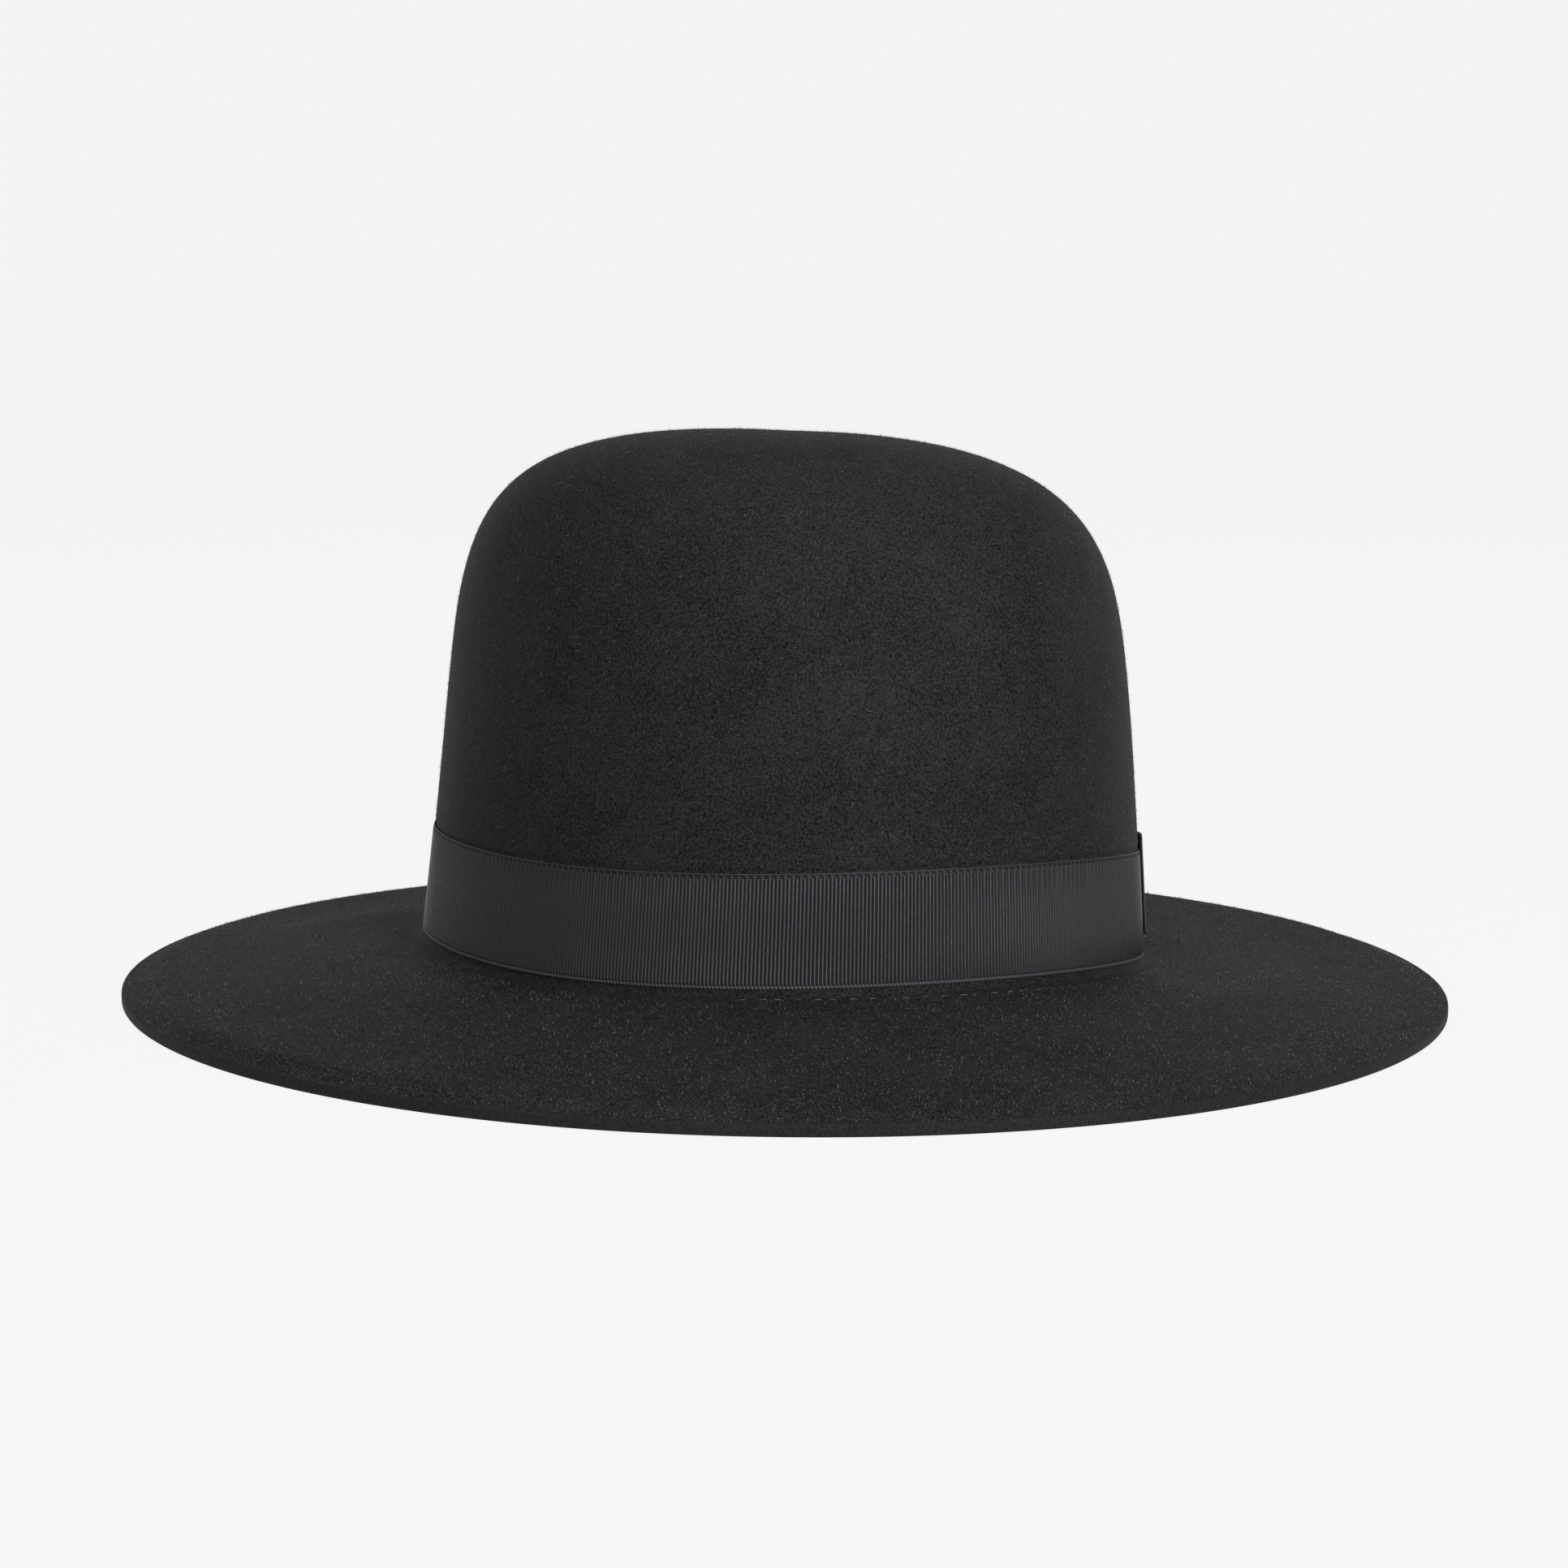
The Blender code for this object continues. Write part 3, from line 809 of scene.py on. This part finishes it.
def tube_faces(lines, steps, sides):
    """Faces of many tubes: quads round each and a fan of triangles over each end."""
    one = grid_faces(steps, sides, closed_columns=True)
    offset = np.arange(lines)[:, None, None] * steps * sides
    corner = np.arange(1, sides - 1)
    start = np.stack([0 * corner, corner, corner + 1], axis=1)
    end = start[:, ::-1] + (steps - 1) * sides
    caps = np.concatenate([start, end])
    return (one[None, :, ::-1] + offset).reshape(-1, 4), (caps[None, :, ::-1] + offset).reshape(-1, 3)


def stitch_piece(material):
    """Row of stitches through the felt, a distance outward of the break: each a short arc that dips in.

    Their height is the lift at the front, and sinks by smooth(turn from the front past its reach).
    """
    count = round(oval_girth(MM * max(STITCH_OUTWARD)) / STITCH_PITCH)
    direction = np.arange(count) * TURN / count
    outward = MM * round_the_hat(STITCH_OUTWARD, direction)
    from_front = np.abs(np.angle(np.exp(1j * (direction - STITCH_FRONT))))
    sunk = smooth((from_front - STITCH_FRONT_REACH) / STITCH_FADE + 1)
    rings, normals, _, _ = felt_surface()
    columns = rings.shape[1]
    column = np.rint(direction / TURN * columns).astype(int) % columns
    corner = crown_point(direction, -BREAK_DROP, -BAND_PRESS)
    away = np.stack(oval(direction, MM), axis=-1) - np.stack(oval(direction, 0), axis=-1)
    away = away / MM
    run = ((rings[:, column, :2] - corner[:, :2]) * away).sum(axis=-1)
    first_row = DOME_ROWS + WALL_ROWS
    row = first_row + (run[first_row:] < outward).sum(axis=0)
    each = np.arange(count)
    share = (outward - run[row - 1, each]) / (run[row, each] - run[row - 1, each])
    before, after = rings[row - 1, column], rings[row, column]
    centre = before + (after - before) * share[:, None]
    up = normals[row, column]
    tangent = np.cross(up, after - before)
    tangent /= np.linalg.norm(tangent, axis=1, keepdims=True)
    share = np.linspace(-1, 1, STITCH_STEPS)
    arc = STITCH_LIFT * (1 - 1.3 * share**4) - STITCH_SINK * sunk[:, None]
    centres = centre[:, None, :] + tangent[:, None, :] * (share * STITCH_LENGTH / 2)[None, :, None]
    centres = centres + up[:, None, :] * arc[:, :, None]
    radius = np.tile(STITCH_THREAD / 2 * np.clip(1.02 - share**2, 0, 1) ** 0.25, (count, 1))
    points = tubes(centres, radius, STITCH_SIDES)
    quads, triangles = tube_faces(count, STITCH_STEPS, STITCH_SIDES)
    return add_piece("break_stitches", points, quads, material, triangles)


def surface_spots(count, crown_share, edge_pull):
    """Random spots on the felt's upper side, evenly by area on crown and brim apart, more near the rim."""
    rings, normals, from_edge, _ = felt_surface()
    down = np.linalg.norm(np.diff(rings, axis=0), axis=2)
    around = np.linalg.norm(np.roll(rings, -1, axis=1) - rings, axis=2)[:-1]
    area = down * around
    on_crown = np.arange(len(area)) < DOME_ROWS
    on_brim = from_edge[:-1] < BRIM_WIDTH
    rim = 1 + edge_pull * np.exp(-from_edge[:-1, None] / RIM_PULL_REACH)
    crown = area * on_crown[:, None]
    brim = area * on_brim[:, None] * rim
    weight = crown_share * crown / crown.sum() + (1 - crown_share) * brim / brim.sum()
    cell = np.searchsorted(np.cumsum(weight.reshape(-1)), random.random(count))
    row, column = np.divmod(np.minimum(cell, weight.size - 1), rings.shape[1])
    row_share, column_share = random.random((2, count))
    here = rings[row, column]
    below = rings[row + 1, column] - here
    beside = rings[row, (column + 1) % rings.shape[1]] - here
    spot = here + row_share[:, None] * below + column_share[:, None] * beside
    normal = normals[row, column]
    tangent = beside / np.linalg.norm(beside, axis=1, keepdims=True)
    return spot, normal, tangent, np.cross(normal, tangent)


def lint_piece(material):
    """Loose fibres on the felt: arcs with a random turn and curl, a hair's breadth above the surface."""
    spot, normal, first, second = surface_spots(LINT_COUNT, LINT_ON_CROWN, LINT_AT_RIM)
    heading = random.uniform(0, TURN, LINT_COUNT)
    length = MM * np.clip(random.gamma(1.8, 0.5, LINT_COUNT), 0.3, 4.2)
    bend = random.normal(0, 1.5, LINT_COUNT)
    share = np.linspace(-0.5, 0.5, LINT_STEPS)
    angle = heading[:, None] + bend[:, None] * share[None, :]
    step = length[:, None] / (LINT_STEPS - 1)
    run = np.cumsum(np.cos(angle) * step, axis=1)
    rise = np.cumsum(np.sin(angle) * step, axis=1)
    run, rise = run - run.mean(axis=1, keepdims=True), rise - rise.mean(axis=1, keepdims=True)
    lift = MM * (0.05 + 0.16 * random.random((LINT_COUNT, 1)) * (1 - 3 * share[None, :] ** 2))
    centres = spot[:, None] + run[..., None] * first[:, None] + rise[..., None] * second[:, None]
    centres = centres + lift[..., None] * normal[:, None]
    radius = MM * random.uniform(0.010, 0.020, (LINT_COUNT, 1)) * np.ones(LINT_STEPS)
    points = tubes(centres, radius, LINT_SIDES)
    quads, triangles = tube_faces(LINT_COUNT, LINT_STEPS, LINT_SIDES)
    return add_piece("loose_lint", points, quads, material, triangles)


def nap_piece(name, material, count, crown_share, width):
    """Short nap: flat slivers that lean off the felt, each wide at the root and pointed at the tip."""
    spot, normal, first, second = surface_spots(count, crown_share, NAP_AT_RIM)
    heading = random.uniform(0, TURN, count)
    length = MM * random.uniform(0.3, 0.85, count)
    lean = random.uniform(0.15, 0.9, count)
    flat = np.cos(heading)[:, None] * first + np.sin(heading)[:, None] * second
    side = np.cross(normal, flat)
    along = np.cos(lean)[:, None] * flat + np.sin(lean)[:, None] * normal
    half = width / 2 * random.uniform(0.6, 1.4, count)[:, None]
    root = spot - 0.02 * MM * normal
    middle = root + 0.55 * length[:, None] * along
    tip = root + length[:, None] * (along + 0.25 * normal)
    across = half * side
    points = np.stack([root - across, root + across, middle + across, middle - across, tip], axis=1)
    base = np.arange(count)[:, None] * 5
    quads = base + np.array([3, 2, 1, 0])
    triangles = base + np.array([4, 2, 3])
    return add_piece(name, points, quads, material, triangles)


def stage_floor():
    """Pale round floor: a disc of rings, so wide that its edge is lost in the pale sky behind it."""
    surface = Surface("pale_floor")
    fine = surface.noise(surface.place(), 300 * MM, 1.0)
    tone = surface.mixed(fine, (0.028, 0.028, 0.028, 1), (0.032, 0.032, 0.032, 1))
    material = surface.finish(
        Base_Color=tone,
        Roughness=1.0,
        Specular_IOR_Level=0.0,
        Emission_Color=(1.0, 1.0, 1.0, 1),
        Emission_Strength=FLOOR_GLOW,
    )
    material.cycles.emission_sampling = "NONE"
    columns = 96
    direction = np.arange(columns) * TURN / columns
    radii = np.array([0.05, 0.3, 1.0, 4.0, 40.0])
    level = np.full((len(radii), columns), -FLOOR_DROP)
    x, y = radii[:, None] * np.cos(direction), radii[:, None] * np.sin(direction)
    points = np.stack([x, y, level], axis=-1)
    points = np.concatenate([points.reshape(-1, 3), [[0, 0, -FLOOR_DROP]]])
    column = np.arange(columns)
    fan = np.stack([np.full(columns, len(points) - 1), column, (column + 1) % columns], axis=1)
    quads = grid_faces(len(radii), columns, closed_columns=True)
    mesh = bpy.data.meshes.new("floor")
    mesh.from_pydata(points.tolist(), [], quads.tolist() + fan.tolist())
    mesh.materials.append(material)
    floor = bpy.data.objects.new("floor", mesh)
    bpy.context.scene.collection.objects.link(floor)


def add_light(name, place, width, height, watts):
    """Rectangular soft light that faces the hat's crown."""
    lamp = bpy.data.lights.new(name, "AREA")
    lamp.shape = "RECTANGLE"
    lamp.size = width
    lamp.size_y = height
    lamp.energy = watts
    light = bpy.data.objects.new(name, lamp)
    bpy.context.scene.collection.objects.link(light)
    toward = np.array(LIGHT_AIM) - np.array(place)
    toward = toward / np.linalg.norm(toward)
    side = np.cross([0, 0, 1], -toward)
    side = side / np.linalg.norm(side)
    up = np.cross(-toward, side)
    turn = np.eye(4)
    turn[:3, 0], turn[:3, 1], turn[:3, 2], turn[:3, 3] = side, up, -toward, place
    light.matrix_world = Matrix(turn.tolist())


def add_sky():
    """Sky as pale as the floor near the horizon, and dimmer overhead."""
    world = bpy.data.worlds.new("studio")
    world.use_nodes = True
    nodes, links = world.node_tree.nodes, world.node_tree.links
    place = nodes.new("ShaderNodeTexCoord")
    split = nodes.new("ShaderNodeSeparateXYZ")
    fade = nodes.new("ShaderNodeMapRange")
    links.new(place.outputs["Generated"], split.inputs[0])
    links.new(split.outputs["Z"], fade.inputs["Value"])
    fade.interpolation_type = "SMOOTHSTEP"
    fade.inputs["From Min"].default_value = math.sin(HORIZON_TOP)
    fade.inputs["From Max"].default_value = math.sin(SKY_START)
    fade.inputs["To Min"].default_value = HORIZON_GLOW
    fade.inputs["To Max"].default_value = SKY_GLOW
    links.new(fade.outputs["Result"], nodes["Background"].inputs["Strength"])
    nodes["Background"].inputs["Color"].default_value = (1, 1, 1, 1)
    bpy.context.scene.world = world


def add_camera():
    """Camera to the front and a little to the wearer's right, tipped down at the hat."""
    settings = bpy.data.cameras.new("camera")
    settings.sensor_width = SENSOR
    settings.lens = LENS
    settings.shift_x = SHIFT_RIGHT
    settings.clip_start = 0.05
    settings.clip_end = 60
    camera = bpy.data.objects.new("camera", settings)
    bpy.context.scene.collection.objects.link(camera)
    sin_turn, cos_turn = math.sin(CAMERA_TURN), math.cos(CAMERA_TURN)
    forward = np.array([sin_turn, cos_turn, 0]) * math.cos(CAMERA_PITCH) + [0, 0, -math.sin(CAMERA_PITCH)]
    right = np.array([cos_turn, -sin_turn, 0])
    up = np.cross(right, forward)
    rolled_right = right * math.cos(CAMERA_ROLL) + up * math.sin(CAMERA_ROLL)
    rolled_up = up * math.cos(CAMERA_ROLL) - right * math.sin(CAMERA_ROLL)
    turn = np.eye(4)
    turn[:3, 0], turn[:3, 1], turn[:3, 2] = rolled_right, rolled_up, -forward
    turn[:3, 3] = -sin_turn * CAMERA_DISTANCE, -cos_turn * CAMERA_DISTANCE, CAMERA_HEIGHT
    camera.matrix_world = Matrix(turn.tolist())
    bpy.context.scene.camera = camera


add_camera()
add_sky()
for soft_box in SOFT_BOXES:
    add_light(*soft_box)
stage_floor()
bpy.context.scene.view_settings.view_transform = "Standard"

black_felt = felt_finish()
ribbon_black = ribbon_finish()
leather = leather_finish()
pale_thread = thread_finish("pale_thread", (0.02, 0.02, 0.021, 1), (0.07, 0.07, 0.071, 1))
lint_fibre = thread_finish("lint_fibre", (0.03, 0.03, 0.03, 1), (0.20, 0.20, 0.20, 1))
nap_fibre = nap_finish()

felt = felt_piece(black_felt)
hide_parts("felt_body")
band = band_piece(ribbon_black)
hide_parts("ribbon_band")
loops = bow_loop_piece(ribbon_black)
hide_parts("bow_loops")
knot = bow_knot_piece(ribbon_black)
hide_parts("bow_knot")
inside_band = sweatband_piece(leather)
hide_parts("sweatband")

stitches = stitch_piece(pale_thread)
lint = lint_piece(lint_fibre)
crown_nap = nap_piece("crown_nap", nap_fibre, CROWN_NAP_COUNT, 1.0, CROWN_NAP_WIDTH)
brim_nap = nap_piece("brim_nap", nap_fibre, BRIM_NAP_COUNT, 0.0, BRIM_NAP_WIDTH)

for piece in (felt, band, loops, knot, inside_band, stitches, lint, crown_nap, brim_nap):
    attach(piece, "root")

band_girth = float(oval_girth(BAND_OUTSIDE))
